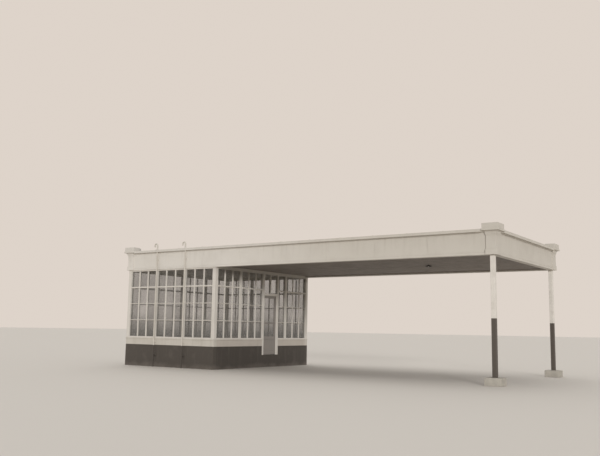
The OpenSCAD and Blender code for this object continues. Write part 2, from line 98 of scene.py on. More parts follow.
# Sizes of the windows' lattice, the roof's edge and the door, as in the part
CORNER_W = 0.155
BAY_POST_W = 0.105
BAR_W = 0.036
TRANSOM_H = 0.048
CROSS_H = 0.020
BAR_IN = 0.015
BAR_T = 0.035
RAIL_H = 0.05
FRONT_BAYS = 3
SIDE_BAYS = 4
BAY_LIGHTS = 3
PANE_ROWS = 4
FANLIGHT_HEAD_H = 0.08
CAP_LAP = 0.09
CAP_FOOT_UP = 0.03
CAP_FOOT_OUT = 0.118
NECK_OUT = 0.048
BEAD_H = 0.07
BED_R = 0.045
COPING_FALL = 0.02
COPING_W = 0.34
PIPE_R = 0.027
PIPE_BESIDE = 0.08
DOOR_BAR_UP = 1.27
DOOR_BAR_H = 0.04
LEAF_GAP = 0.008
FASCIA_T = 0.20

# How far thin pieces keep off the solids that they lie on, and the steps of a quarter round
HAIR = 0.0005
COVE_STEPS = 6

# Places that the pieces are built from
fascia_low, fascia_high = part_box("fascia_front")
side_fascia_low, side_fascia_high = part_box("fascia_right")
soffit_low, soffit_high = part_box("soffit")
deck_low, deck_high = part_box("roof_deck")
plinth_low, plinth_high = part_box("plinth_front")
rear_plinth_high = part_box("plinth_rear")[1]
beam_low, beam_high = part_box("room_beam")
cornice_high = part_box("cornice")[1]
lamp_low, lamp_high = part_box("soffit_lamp")
pipes_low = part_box("vent_pipes")[0]
window_low, window_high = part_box("window_front")
left_low, left_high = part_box("window_left")
near_low, near_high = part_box("window_right_front")
far_low, far_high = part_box("window_right_rear")
leaf_low, leaf_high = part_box("door_leaf")
panel_low, panel_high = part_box("door_panel")
light_low, light_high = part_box("door_glass")
head_low, head_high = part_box("fanlight")
PLINTH_Z = plinth_high.z
FASCIA_Z = fascia_low.z
CORNICE_Z = fascia_high.z
SOFFIT_Z = soffit_low.z

# Heights at which the front and the rear post change from black to white
PAINT_LINE_Z = 1.94
REAR_LINE_Z = 1.90

# Where along the roof its paint begins and ends to dull, and how far down its streaks are strong
DULL_X = (-2.2, 2.6)
DRIP_H = 0.5

# The painted shade of the canopy on the door's wall: it lies on what is less deep in the wall than
# this, grows along the wall from its front corner, and grows between two heights under the soffit
PAINTED_SHADE_X = (plinth_high.x - 0.15, plinth_high.x - 0.14)
PAINTED_SHADE_Y = (plinth_low.y + CORNER_W, plinth_low.y + CORNER_W + 0.3)
PAINTED_SHADE_Z = (SOFFIT_Z - 0.36, SOFFIT_Z - 0.22)

# How far up from the sills the dust on the panes thins out
SILL_DUST_H = 1.0

# Each face that pieces are set on: the axis that runs along it, its place, and the way inward
FACES = {
    "room_front": ("x", plinth_low.y, 1), "room_rear": ("x", rear_plinth_high.y, -1),
    "room_left": ("y", plinth_low.x, 1), "room_right": ("y", plinth_high.x, -1),
    "roof_front": ("x", soffit_low.y - FASCIA_T, 1),
    "roof_rear": ("x", soffit_high.y + FASCIA_T, -1),
    "roof_left": ("y", soffit_low.x - FASCIA_T, 1),
    "roof_right": ("y", soffit_high.x + FASCIA_T, -1),
}
CORNICE_OUT = cornice_high.y - FACES["roof_rear"][1]


# Materials


def new_material(name):
    """A material, its node tree and its shader."""
    mat = bpy.data.materials.new(name)
    mat.use_nodes = True
    tree = mat.node_tree
    return mat, tree, tree.nodes["Principled BSDF"]


def node(tree, kind, **values):
    """Adds a shader node and sets its inputs by name."""
    made = tree.nodes.new("ShaderNode" + kind)
    for key, value in values.items():
        made.inputs[key.replace("_", " ")].default_value = value
    return made


def link(tree, out, into):
    tree.links.new(out, into)


def noise(tree, coords, scale, detail=4.0, roughness=0.55, stretch=(1, 1, 1)):
    """A noise pattern in the object's own metres, stretched along an axis where asked."""
    mapping = node(tree, "Mapping", Scale=stretch)
    link(tree, coords, mapping.inputs["Vector"])
    made = node(tree, "TexNoise", Scale=scale, Detail=detail, Roughness=roughness)
    link(tree, mapping.outputs["Vector"], made.inputs["Vector"])
    return made.outputs["Fac"]


def ramp(tree, value, low, high, start=0.0, end=1.0):
    """Maps a value from low..high to start..end, held at both ends."""
    made = node(tree, "MapRange", From_Min=low, From_Max=high, To_Min=start, To_Max=end)
    link(tree, value, made.inputs["Value"])
    return made.outputs["Result"]


def math_node(tree, operation, a, b):
    """One operation on two values, each a number or a socket."""
    made = tree.nodes.new("ShaderNodeMath")
    made.operation = operation
    for socket, value in zip(made.inputs, (a, b)):
        if isinstance(value, (int, float)):
            socket.default_value = value
        else:
            link(tree, value, socket)
    return made.outputs[0]


def mix(tree, factor, a, b):
    """Mixes two colours, each a colour or a socket."""
    made = tree.nodes.new("ShaderNodeMix")
    made.data_type = "RGBA"
    link(tree, factor, made.inputs[0])
    for socket, value in ((made.inputs[6], a), (made.inputs[7], b)):
        if isinstance(value, tuple):
            socket.default_value = (*value, 1)
        else:
            link(tree, value, socket)
    return made.outputs[2]


def bump(tree, shader, height, strength, distance):
    made = node(tree, "Bump", Strength=strength, Distance=distance)
    link(tree, height, made.inputs["Height"])
    link(tree, made.outputs["Normal"], shader.inputs["Normal"])


def coordinates(tree):
    """Object coordinates, which are metres in the part's frame, and their parts."""
    coords = tree.nodes.new("ShaderNodeTexCoord").outputs["Object"]
    split = tree.nodes.new("ShaderNodeSeparateXYZ")
    link(tree, coords, split.inputs[0])
    return coords, split.outputs["X"], split.outputs["Y"], split.outputs["Z"]


def painted(name, base, grime, dirt, streaks, rough=0.6, drip_from=None, dulls=None, painted_shade=None):
    """Oil paint on boards: cloudy dirt, streaks that run down, dirt that settles on what faces
    up, and a brushed surface. Streaks are strongest just under drip_from, where that is given.
    Where dulls is given, the paint grows darker to that colour towards the open end. Where the
    door's wall colour is given, the canopy's shade is painted in that colour under the soffit on
    the door's wall."""
    mat, tree, shader = new_material(name)
    coords, x, y, z = coordinates(tree)
    cloud = noise(tree, coords, scale=1.3, detail=6.0, roughness=0.62)
    run = noise(tree, coords, scale=7.0, detail=5.0, roughness=0.6, stretch=(1, 1, 0.06))
    fleck = noise(tree, coords, scale=60.0, detail=3.0, roughness=0.6)
    cloudy = ramp(tree, cloud, low=0.45, high=0.85, end=dirt)
    streaky = ramp(tree, run, low=0.52, high=0.80, end=streaks)
    if drip_from is not None:
        drips = ramp(tree, z, low=drip_from - DRIP_H, high=drip_from, start=0.25, end=1.6)
        streaky = math_node(tree, "MULTIPLY", streaky, drips)
    flecked = ramp(tree, fleck, low=0.66, high=0.76, end=0.35 * dirt)
    facing = tree.nodes.new("ShaderNodeSeparateXYZ")
    link(tree, tree.nodes.new("ShaderNodeNewGeometry").outputs["Normal"], facing.inputs[0])
    upward = ramp(tree, facing.outputs["Z"], low=0.6, high=1.0, end=0.75)
    settled = math_node(tree, "MULTIPLY", upward,
                        ramp(tree, cloud, low=0.3, high=0.6, start=0.4, end=1.0))
    dirty = math_node(tree, "MAXIMUM", math_node(tree, "ADD", cloudy, streaky), flecked)
    dirty = math_node(tree, "MAXIMUM", dirty, settled)
    # The paint grows darker towards the open end
    if dulls is not None:
        base = mix(tree, ramp(tree, x, *DULL_X), base, dulls)
    # Painted shade: the canopy's shade under the soffit on the door's wall, mixed into the paint's
    # colour
    if painted_shade is not None:
        near = math_node(tree, "MULTIPLY", ramp(tree, x, *PAINTED_SHADE_X),
                         ramp(tree, y, *PAINTED_SHADE_Y, start=0.35))
        base = mix(tree, math_node(tree, "MULTIPLY", near, ramp(tree, z, *PAINTED_SHADE_Z)), base, painted_shade)
    colour = mix(tree, math_node(tree, "MINIMUM", dirty, 0.9), base, grime)
    link(tree, colour, shader.inputs["Base Color"])
    link(tree, ramp(tree, cloud, low=0.3, high=0.8, start=rough - 0.08, end=rough + 0.12),
         shader.inputs["Roughness"])
    brushed = noise(tree, coords, scale=90.0, detail=2.0, roughness=0.5, stretch=(0.15, 0.15, 1))
    bump(tree, shader, math_node(tree, "ADD", brushed, run), strength=0.25, distance=0.002)
    return mat


def plinth_paint(name, base):
    """Dull black paint, dusty where rain splashes it from the ground."""
    mat, tree, shader = new_material(name)
    coords, _, _, z = coordinates(tree)
    cloud = noise(tree, coords, scale=2.2, detail=6.0, roughness=0.65)
    splash = math_node(tree, "ADD", ramp(tree, z, low=0.0, high=0.22, start=0.22, end=0.0),
                       ramp(tree, cloud, low=0.35, high=0.8, start=-0.12, end=0.16))
    run = noise(tree, coords, scale=9.0, detail=4.0, roughness=0.6, stretch=(1, 1, 0.08))
    streak = ramp(tree, run, low=0.55, high=0.85, end=0.14)
    dusty = math_node(tree, "MAXIMUM", math_node(tree, "MAXIMUM", splash, streak), 0.0)
    colour = mix(tree, math_node(tree, "MINIMUM", dusty, 0.8), base, DUST)
    link(tree, colour, shader.inputs["Base Color"])
    shader.inputs["Roughness"].default_value = 0.62
    bump(tree, shader, noise(tree, coords, scale=26.0, detail=5.0, roughness=0.6),
         strength=0.35, distance=0.003)
    return mat


def two_tone(name, line_z, pale, dark):
    """Off-white paint over black, which meet at a hand-painted line."""
    wander = 0.012
    line_low, line_high = line_z - 0.001, line_z + 0.004
    mat, tree, shader = new_material(name)
    coords, _, _, z = coordinates(tree)
    uneven = noise(tree, coords, scale=14.0, detail=2.0, roughness=0.5)
    height = math_node(tree, "ADD", z, math_node(tree, "MULTIPLY", uneven, wander))
    line = ramp(tree, height, low=line_low, high=line_high)
    cloud = noise(tree, coords, scale=3.0, detail=6.0, roughness=0.62)
    scuffs = ramp(tree, noise(tree, coords, scale=30.0, detail=4.0, roughness=0.7),
                  low=0.60, high=0.74, end=0.7)
    low_down = ramp(tree, z, low=0.3, high=1.2, start=0.6, end=0.12)
    black = mix(tree, math_node(tree, "MULTIPLY", scuffs, low_down), dark, DUST)
    white = mix(tree, ramp(tree, cloud, low=0.45, high=0.85, end=0.4), pale, GRIME)
    link(tree, mix(tree, line, black, white), shader.inputs["Base Color"])
    shader.inputs["Roughness"].default_value = 0.55
    brushed = noise(tree, coords, scale=60.0, detail=3.0, roughness=0.5, stretch=(1, 1, 0.1))
    bump(tree, shader, brushed, strength=0.2, distance=0.002)
    return mat


def plain(name, base, rough, vary, scale, relief, metal=0.0):
    """One colour, slightly uneven, with a finer relief."""
    finer = 12
    mat, tree, shader = new_material(name)
    coords = coordinates(tree)[0]
    darker = tuple(c * (1 - vary) for c in base)
    lighter = tuple(min(1.0, c * (1 + vary)) for c in base)
    cloud = noise(tree, coords, scale, detail=6.0, roughness=0.6)
    link(tree, mix(tree, ramp(tree, cloud, low=0.3, high=0.7), darker, lighter),
         shader.inputs["Base Color"])
    shader.inputs["Roughness"].default_value = rough
    shader.inputs["Metallic"].default_value = metal
    bump(tree, shader, noise(tree, coords, scale * finer, detail=4.0, roughness=0.6),
         strength=0.4, distance=relief)
    return mat


def window_glass():
    """Old window glass: dark, not quite flat, with a film of dust that differs from pane to pane
    and is thickest at the sills."""
    mat, tree, shader = new_material("window_glass")
    coords, _, _, z = coordinates(tree)
    cloud = noise(tree, coords, scale=1.6, detail=5.0, roughness=0.6)
    pane = tree.nodes.new("ShaderNodeNewGeometry").outputs["Random Per Island"]
    film = math_node(tree, "ADD", ramp(tree, cloud, low=0.3, high=0.75, end=0.55),
                     ramp(tree, pane, low=0, high=1, end=0.45))
    sill = ramp(tree, z, low=window_low.z, high=window_low.z + SILL_DUST_H, start=1.5, end=0.0)
    film = math_node(tree, "ADD", film, sill)
    link(tree, mix(tree, film, GLASS, GLASS_DUSTY), shader.inputs["Base Color"])
    shader.inputs["Roughness"].default_value = 0.05
    link(tree, ramp(tree, film, low=0.0, high=2.5, start=0.14, end=0.60), shader.inputs["Alpha"])
    bump(tree, shader, noise(tree, coords, scale=5.0, detail=2.0, roughness=0.5),
         strength=0.15, distance=0.004)
    return mat


def bulb_glass():
    """The frosted glass of the lamp's bulb."""
    mat, tree, shader = new_material("bulb_glass")
    coords = coordinates(tree)[0]
    link(tree, mix(tree, noise(tree, coords, scale=40.0), BULB, WHITE),
         shader.inputs["Base Color"])
    shader.inputs["Roughness"].default_value = 0.25
    return mat


MATERIALS = {
    # The frames' paint carries painted shade under the soffit on the door's wall
    "white_paint": painted("white_paint", WHITE_FRAME, GRIME, dirt=0.24, streaks=0.18,
                           painted_shade=WHITE_PAINTED_SHADE),
    "white_low": painted("white_low", WHITE_DULL, GRIME, dirt=0.35, streaks=0.3),
    "white_side_shaded": painted("white_side_shaded", WHITE_SIDE_SHADED, GRIME, dirt=0.35, streaks=0.3),
    "white_fascia": painted("white_fascia", WHITE_ROOF, GRIME, dirt=0.20, streaks=0.22,
                            rough=0.55, drip_from=CORNICE_Z, dulls=WHITE_DARKER_END),
    "white_top": painted("white_top", WHITE_TOP, GRIME, dirt=0.26, streaks=0.2, dulls=WHITE_DARKER_END),
    "ceiling": painted("ceiling_paint", CEILING, GRIME, dirt=0.3, streaks=0.1),
    "door_paint": painted("door_grey", GREY, DUST, dirt=0.35, streaks=0.25),
    "black_paint": plinth_paint("plinth_black", BLACK),
    "black_side_shaded": plinth_paint("plinth_side_shaded", BLACK_SIDE_SHADED),
    "post_paint": two_tone("post_paint", PAINT_LINE_Z, WHITE, BLACK_WORN),
    "post_paint_rear": two_tone("post_paint_rear", REAR_LINE_Z, WHITE, BLACK_WORN),
    "pipe_paint": two_tone("pipe_paint", PLINTH_Z, WHITE_DULL, BLACK),
    # Painted shade: dark boards for the deep shade under the canopy
    "soffit_boards": plain("soffit_boards", BOARD_PAINTED_SHADE, rough=0.7, vary=0.25, scale=3.0, relief=0.002),
    "concrete": plain("concrete", CONCRETE, rough=0.85, vary=0.15, scale=5.0, relief=0.002),
    "roofing": plain("roofing", FELT, rough=0.9, vary=0.25, scale=2.0, relief=0.001),
    "iron": plain("iron", IRON, rough=0.45, vary=0.3, scale=20.0, relief=0.0005, metal=0.6),
    "glass": window_glass(),
    "bulb": bulb_glass(),
}

# The nodes whose paint differs from that of their slot
REPAINTED = {
    "white_low": ("band_front", "band_left", "band_rear"),
    # The door's wall gets shaded copies of the band's and the plinth's paint: painted shade under
    # the roof
    "white_side_shaded": ("band_right_front", "band_right_rear"),
    "black_side_shaded": ("plinth_right_front", "plinth_right_rear", "plinth_under_door"),
    "white_fascia": ("fascia_front", "fascia_left", "fascia_rear", "fascia_right",
                     "corner_pilasters"),
    "white_top": ("cornice", "corner_caps"),
    "post_paint_rear": ("canopy_post_rear",),
}


def dress_nodes():
    """Gives every node the material of its slot, or its own."""
    for part in frame["record"]["subparts"]:
        obj = nodes[part["node"]]
        obj.data.materials.clear()
        obj.data.materials.append(MATERIALS[part["material_slot"]])
    for material, names in REPAINTED.items():
        for name in names:
            nodes[name].data.materials[0] = MATERIALS[material]


# Building blocks


def add(name, build, material, body="building"):
    """A piece from a bmesh that build() fills."""
    mesh = bpy.data.meshes.new(name)
    bm = bmesh.new()
    build(bm)
    bm.to_mesh(mesh)
    bm.free()
    obj = bpy.data.objects.new(name, mesh)
    bpy.context.scene.collection.objects.link(obj)
    mesh.materials.append(MATERIALS[material])
    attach(obj, body)
    return obj


def on_face(face, u, depth, z):
    """A point on a face of the building: u along it, depth inward, z up."""
    axis, place, inward = FACES[face]
    across = place + inward * depth
    return Vector((u, across, z)) if axis == "x" else Vector((across, u, z))


def put_box(bm, low, high, bevel):
    """A box between two opposite corners, with its edges taken off and its faces outward."""
    low, high = Vector(low), Vector(high)
    others = set(bm.faces)
    made = bmesh.ops.create_cube(bm, size=1)["verts"]
    for v in made:
        v.co = Vector(low[i] + (v.co[i] + 0.5) * (high[i] - low[i]) for i in range(3))
    edges = list({e for v in made for e in v.link_edges})
    bmesh.ops.bevel(bm, geom=edges, offset=bevel, segments=1, affect="EDGES")
    mirrored = math.prod(high - low) < 0
    if mirrored:
        bmesh.ops.reverse_faces(bm, faces=[f for f in bm.faces if f not in others])


def skin(bm, rings, closed=False):
    """Faces from each ring of points to the next, and over both ends where it isn't closed. All
    of them are turned outward."""
    made = [[bm.verts.new(p) for p in ring] for ring in rings]
    follow = made[1:] + made[:1] if closed else made[1:]
    faces = []
    for a, b in zip(made, follow):
        for i in range(len(a)):
            j = (i + 1) % len(a)
            faces.append(bm.faces.new((a[i], a[j], b[j], b[i])))
    if not closed:
        faces += [bm.faces.new(made[0]), bm.faces.new(made[-1][::-1])]
    bmesh.ops.recalc_face_normals(bm, faces=faces)


def full_turns(sides):
    """The angles of the points of a full round."""
    return [2 * math.pi * k / sides for k in range(sides)]


def quarter_turns():
    """The angles of the points of a quarter round."""
    return [math.pi / 2 * i / COVE_STEPS for i in range(COVE_STEPS + 1)]


def put_dome(bm, centre, outward, radius, height, sides=6):
    """A low round head, such as a nail's, on a face. Its foot is sunk a little."""
    sunk = 0.001
    outward = Vector(outward)
    across = outward.orthogonal().normalized()
    beside = outward.cross(across)
    skin(bm, [[centre + outward * lift
               + radius * share * (math.cos(t) * across + math.sin(t) * beside)
               for t in full_turns(sides)]
              for share, lift in ((1.0, -sunk), (1.0, 0.3 * height), (0.6, height))])


def lathe(bm, centre, profile, sides=24):
    """A turned shape about an upright axis: profile gives radius and height."""
    skin(bm, [[centre + Vector((r * math.cos(t), r * math.sin(t), z)) for t in full_turns(sides)]
              for r, z in profile])


def corners(u, z):
    """The corners of an opening in turn, each with its two ways into the opening."""
    return ((u[0], z[0], 1, 1), (u[1], z[0], -1, 1), (u[1], z[1], -1, -1), (u[0], z[1], 1, -1))


# The lattice of the windows


def clear_spans(first, last, mids):
    """The clear openings between the bay posts that stand at mids."""
    starts = [first] + [m + BAY_POST_W / 2 for m in mids]
    ends = [m - BAY_POST_W / 2 for m in mids] + [last]
    return list(zip(starts, ends))


def even_mids(first, last, count):
    """The middles of the bay posts between two corner posts, for a number of equal bays."""
    pitch = (last - first + CORNER_W) / count
    return [first - CORNER_W / 2 + i * pitch for i in range(1, count)]


front_mids = even_mids(window_low.x, window_high.x, FRONT_BAYS)
front_spans = clear_spans(window_low.x, window_high.x, front_mids)
left_mids = even_mids(left_low.y, left_high.y, SIDE_BAYS)
left_spans = clear_spans(left_low.y, left_high.y, left_mids)
door_post_mid = near_high.y + BAY_POST_W / 2
near_mid = (near_low.y - CORNER_W / 2 + door_post_mid) / 2
far_mid = (far_high.y + CORNER_W / 2 + door_post_mid) / 2
near_spans = clear_spans(near_low.y, near_high.y, [near_mid])
far_spans = clear_spans(far_low.y, far_high.y, [far_mid])

# Every bay: the face that it is in, its clear opening, and its number of lights
BAYS = [("room_front", s, BAY_LIGHTS) for s in front_spans]
BAYS += [("room_rear", s, BAY_LIGHTS) for s in front_spans]
BAYS += [("room_left", s, BAY_LIGHTS) for s in left_spans]
BAYS += [("room_right", s, BAY_LIGHTS) for s in near_spans]
BAYS += [("room_right", far_spans[0], 1), ("room_right", far_spans[1], BAY_LIGHTS)]
LOW_Z = window_low.z + RAIL_H
HIGH_Z = window_high.z - RAIL_H
ROW_H = (HIGH_Z - LOW_Z) / PANE_ROWS


def light_spans(span, count):
    """The clear widths of the lights of a bay."""
    step = (span[1] - span[0] + BAR_W) / count
    return [(span[0] + i * step, span[0] + (i + 1) * step - BAR_W) for i in range(count)]


def cross_h(row):
    """Height of the bar under a row: the transom, under the top row, is heavier."""
    return TRANSOM_H if row == PANE_ROWS - 1 else CROSS_H


def row_spans():
    """The clear heights of the rows of panes."""
    spans = []
    for i in range(PANE_ROWS):
        low = LOW_Z + i * ROW_H + (cross_h(i) / 2 if i else 0)
        high = LOW_Z + (i + 1) * ROW_H - (cross_h(i + 1) / 2 if i < PANE_ROWS - 1 else 0)
        spans.append((low, high))
    return spans


# Every pane: its face, and its clear width and height. The fanlight has two.
PANES = [(face, u, z) for face, span, count in BAYS
         for u in light_spans(span, count) for z in row_spans()]
fan_mid = (head_low.y + head_high.y) / 2
PANES += [("room_right", u, (head_low.z + FANLIGHT_HEAD_H, HIGH_Z))
          for u in ((head_low.y, fan_mid - BAR_W / 2), (fan_mid + BAR_W / 2, head_high.y))]


def window_panes():
    """Each pane on its own, a little out of true, behind the bars."""
    chance = random.Random(7)
    thick = 0.004
    most_lean = 0.0015
    back = BAR_IN + BAR_T + HAIR

    for face in ("room_front", "room_rear", "room_left", "room_right"):
        def build(bm):
            for where, u, z in PANES:
                if where != face:
                    continue
                leaning = [(a, b, back + chance.uniform(0, most_lean))
                           for a, b, _, _ in corners(u, z)]
                skin(bm, [[on_face(face, a, depth + t, b) for a, b, depth in leaning]
                          for t in (0, thick)])
        made = add("panes_" + face.split("_")[1], build, "glass")
        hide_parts("glass_" + face.split("_")[1])


def glazing_putty():
    """A sloped fillet of putty round each pane, from the bars down to the glass."""
    size = 0.007
    depth = BAR_IN + BAR_T

    def build(bm):
        for face, u, z in PANES:
            skin(bm, [[on_face(face, a, depth, b), on_face(face, a, depth - size, b),
                       on_face(face, a + da * size, depth, b + db * size)]
                      for a, b, da, db in corners(u, z)], closed=True)
    add("glazing_putty", build, "white_paint")


def nose(place, start, end, width):
    """The rounded nose on the face of a glazing bar, from start to end. place(a, along, depth)
    gives a point a to the side of the bar's middle line."""
    lift = 0.005
    sunk = 0.002
    edge = 0.001
    profile = [(-0.5, -sunk), (-0.5, edge), (-0.32, 0.8 * lift), (0, lift), (0.32, 0.8 * lift),
               (0.5, edge), (0.5, -sunk)]
    return [[place(w * width, along, BAR_IN - h) for w, h in profile] for along in (start, end)]


def bar_noses():
    """The noses of all the glazing bars: uprights run through, cross bars run between them."""
    share = 0.5
    to_upright = BAR_W * (1 - share) / 2

    def build(bm):
        for face, span, count in BAYS:
            lights = light_spans(span, count)
            for left_light, right_light in zip(lights, lights[1:]):
                mid = (left_light[1] + right_light[0]) / 2
                skin(bm, nose(lambda a, along, d: on_face(face, mid + a, d, along),
                              LOW_Z, HIGH_Z, BAR_W * share))
            for row in range(1, PANE_ROWS):
                z = LOW_Z + row * ROW_H
                for u in lights:
                    start = u[0] - (to_upright if u != lights[0] else 0)
                    end = u[1] + (to_upright if u != lights[-1] else 0)
                    skin(bm, nose(lambda a, along, d: on_face(face, along, d, z + a),
                                  start, end, cross_h(row) * share))
    add("bar_noses", build, "white_paint")


# The roof's edge


def roof_runs():
    """The four runs of the fascia: face, from, to."""
    return (("roof_front", fascia_low.x, fascia_high.x),
            ("roof_rear", fascia_low.x, fascia_high.x),
            ("roof_left", side_fascia_low.y, side_fascia_high.y),
            ("roof_right", side_fascia_low.y, side_fascia_high.y))


def fascia_sheets():
    """Flat sheets on the fascia between its foot bead and its moulding, nailed at the edges."""
    sheet = 1.85
    joint = 0.004
    thick = 0.005
    gap = 0.001
    sunk = 0.001
    worn = 0.001
    nail_pitch = 0.26
    nail_in = 0.025
    nail_r = 0.006
    nail_h = 0.0022
    z = (FASCIA_Z + BEAD_H + gap, CORNICE_Z - BED_R - gap)

    def spans(start, end):
        count = round((end - start) / sheet)
        step = (end - start) / count
        return [(start + i * step + joint / 2, start + (i + 1) * step - joint / 2)
                for i in range(count)]

    def build(bm):
        for face, start, end in roof_runs():
            for u in spans(start, end):
                put_box(bm, on_face(face, u[0], sunk, z[0]), on_face(face, u[1], -thick, z[1]),
                        worn)

    def nails(bm):
        for face, start, end in roof_runs():
            outward = on_face(face, 0, -1, 0) - on_face(face, 0, 0, 0)
            for u in spans(start, end):
                count = round((u[1] - u[0] - 2 * nail_in) / nail_pitch)
                for i in range(count + 1):
                    along = u[0] + nail_in + (u[1] - u[0] - 2 * nail_in) * i / count
                    heights = (z[0] + nail_in, z[1] - nail_in)
                    if i in (0, count):
                        heights += ((z[0] + z[1]) / 2,)
                    for height in heights:
                        put_dome(bm, on_face(face, along, -thick, height), outward, nail_r, nail_h)
    add("fascia_sheets", build, "white_fascia")
    add("fascia_nails", nails, "white_fascia")


def cornice_returns():
    """Coves that lead the cornice's ends back to the necks of the pilasters, under the feet of
    the caps."""
    sunk = 0.001
    buried = 0.1
    under_foot = 0.0004

    def build(bm):
        for face, start, end in roof_runs():
            for at, inward in ((start, 1), (end, -1)):
                curve = [(at + inward * CAP_LAP * math.sin(turn),
                          -(NECK_OUT + (CORNICE_OUT - NECK_OUT) * (1 - math.cos(turn))))
                         for turn in quarter_turns()]
                plan = [(at - inward * sunk, buried), *curve, (at + inward * CAP_LAP, buried)]
                skin(bm, [[on_face(face, u, d, z) for u, d in plan]
                          for z in (CORNICE_Z, CORNICE_Z + CAP_FOOT_UP - under_foot)])
    add("cornice_returns", build, "white_top")


def cap_coves():
    """A cove under the foot of each cap, round the neck of its pilaster."""
    neck_out = NECK_OUT - HAIR
    drop = 0.075
    proud = 0.001
    buried = 0.02
    top = CORNICE_Z + CAP_FOOT_UP - HAIR
    section = [(CAP_FOOT_OUT - (CAP_FOOT_OUT - neck_out) * math.sin(turn),
                top - (CAP_FOOT_UP + drop) * (1 - math.cos(turn))) for turn in quarter_turns()]
    section += [(neck_out - buried, section[-1][1]), (neck_out - buried, section[0][1])]

    def build(bm):
        for y, to_y, inner_y in ((FACES["roof_front"][1], -1, side_fascia_low.y + proud),
                                 (FACES["roof_rear"][1], 1, side_fascia_high.y - proud)):
            for x, to_x, inner_x in ((FACES["roof_left"][1], -1, fascia_low.x + proud),
                                     (FACES["roof_right"][1], 1, fascia_high.x - proud)):
                skin(bm, [[Vector((inner_x, y + to_y * d, z)) for d, z in section],
                          [Vector((x + to_x * d, y + to_y * d, z)) for d, z in section],
                          [Vector((x + to_x * d, inner_y, z)) for d, z in section]])
    add("cap_coves", build, "white_top")


def coping_flashing():
    """Painted sheet metal on the coping, with a welt at each joint and a drip on its outer edge."""
    sheet = 1.22
    thick = 0.0015
    drop = 0.022
    off_edge = 0.0003
    welt_w = 0.009
    welt_h = 0.012
    welt_in = 0.004
    out = -CORNICE_OUT
    back = COPING_W + out

    def surface(depth):
        return cornice_high.z - COPING_FALL * (back - depth) / COPING_W

    section = [(back, surface(back) + HAIR), (back, surface(back) + thick),
               (out - thick, surface(out) + thick), (out - thick, surface(out) - drop),
               (out - off_edge, surface(out) - drop), (out - off_edge, surface(out) + HAIR)]
    welt = ((-0.5, 0), (-0.5, 1), (0.5, 1), (0.5, 0))

    def build(bm):
        for face, start, end in roof_runs():
            start, end = start + CAP_LAP, end - CAP_LAP
            count = round((end - start) / sheet)
            step = (end - start) / count
            skin(bm, [[on_face(face, u, d, z) for d, z in section] for u in (start, end)])
            for i in range(1, count):
                u = start + i * step
                skin(bm, [[on_face(face, u + w * welt_w, d, surface(d) + thick + h * welt_h)
                           for w, h in welt] for d in (out + welt_in, back - welt_in)])
    add("coping_flashing", build, "white_top")


def soffit_boarding():
    """Matched boards along the roof under the soffit, with a bead round them: dark over the bay,
    where the canopy's deep shade is painted into their colour, and painted as the ceiling of the
    showroom."""
    pitch = 0.11
    drop = 0.012
    groove = 0.004
    bead = 0.02
    bead_section = ((0, -0.5), (1, -0.5), (1, 0), (0.8, 0.6), (0.4, 0.95), (0, 1))
    count = round((soffit_high.y - soffit_low.y) / pitch)
    step = (soffit_high.y - soffit_low.y) / count

    def boards(bm, x0, x1):
        for i in range(count):
            y0 = soffit_low.y + i * step
            put_box(bm, (x0, y0 + groove / 2, SOFFIT_Z - drop),
                    (x1, y0 + step - groove / 2, SOFFIT_Z - HAIR), groove)
        for y, inward in ((soffit_low.y, 1), (soffit_high.y, -1)):
            skin(bm, [[Vector((x, y + inward * bead * a, SOFFIT_Z - drop - bead * b))
                       for a, b in bead_section] for x in (x0, x1)])
    add("soffit_boarding", lambda bm: boards(bm, beam_high.x, soffit_high.x),
        "soffit_boards")
    add("ceiling_boarding", lambda bm: boards(bm, soffit_low.x, beam_low.x),
        "ceiling")


def roof_felt():
    """Strips of felt down the fall of the deck, each lapped over the next, and turned up at the
    edges."""
    strip = 0.9
    lap = 0.07
    thick = 0.004
    fall = 0.06
    fillet = 0.05
    under_cornice = 0.002
    top = CORNICE_Z - under_cornice
    count = math.ceil((deck_high.x - deck_low.x) / strip)
    step = (deck_high.x - deck_low.x) / count
    xs = (deck_low.x, deck_high.x)
    ys = (deck_low.y, deck_high.y)
    section = ((0, 0), (fillet, 2 * thick), (fillet, 3.5 * thick), (2 * thick, fillet))

    def height(y):
        return deck_high.z - fall * (y - deck_low.y) / (deck_high.y - deck_low.y)

    def build(bm):
        for i in range(count):
            x0 = deck_low.x + i * step
            x1 = min(x0 + step + lap, deck_high.x)
            lift = HAIR + thick * (i % 2)
            outline = ((x0, 0), (x1, 0), (x1, thick), (x0, thick))
            skin(bm, [[Vector((x, y, height(y) + lift + h)) for x, h in outline] for y in ys])

    def turn_up(x, y, in_x, in_y):
        """The section of the upstand at a place on the deck's edge, with the ways inward."""
        return [Vector((x + in_x * a, y + in_y * a, height(y) + b)) for a, b in section] + [
            Vector((x + in_x * thick, y + in_y * thick, top)), Vector((x, y, top))]

    def upstand(bm):
        for x, inward in zip(xs, (1, -1)):
            skin(bm, [turn_up(x, y, inward, 0) for y in ys])
        for y, inward in zip(ys, (1, -1)):
            skin(bm, [turn_up(x, y, 0, inward) for x in xs])
    add("roof_felt", build, "roofing")
    add("felt_upstand", upstand, "roofing")


# Fittings


def pipe_collars():
    """The flashing collar of each vent pipe on the coping."""
    # How far each point of the collar is out from the pipe, and up
    profile = ((0.028, 0.002), (0.026, 0.008), (0.006, 0.014), (0.003, 0.05), (-0.001, 0.052),
               (-0.001, 0.002))

    def build(bm):
        for x in front_mids:
            foot = Vector((x + PIPE_BESIDE, pipes_low.y + PIPE_R, cornice_high.z - COPING_FALL))
            lathe(bm, foot, [(PIPE_R + out, up) for out, up in profile])
    add("pipe_collars", build, "white_top")


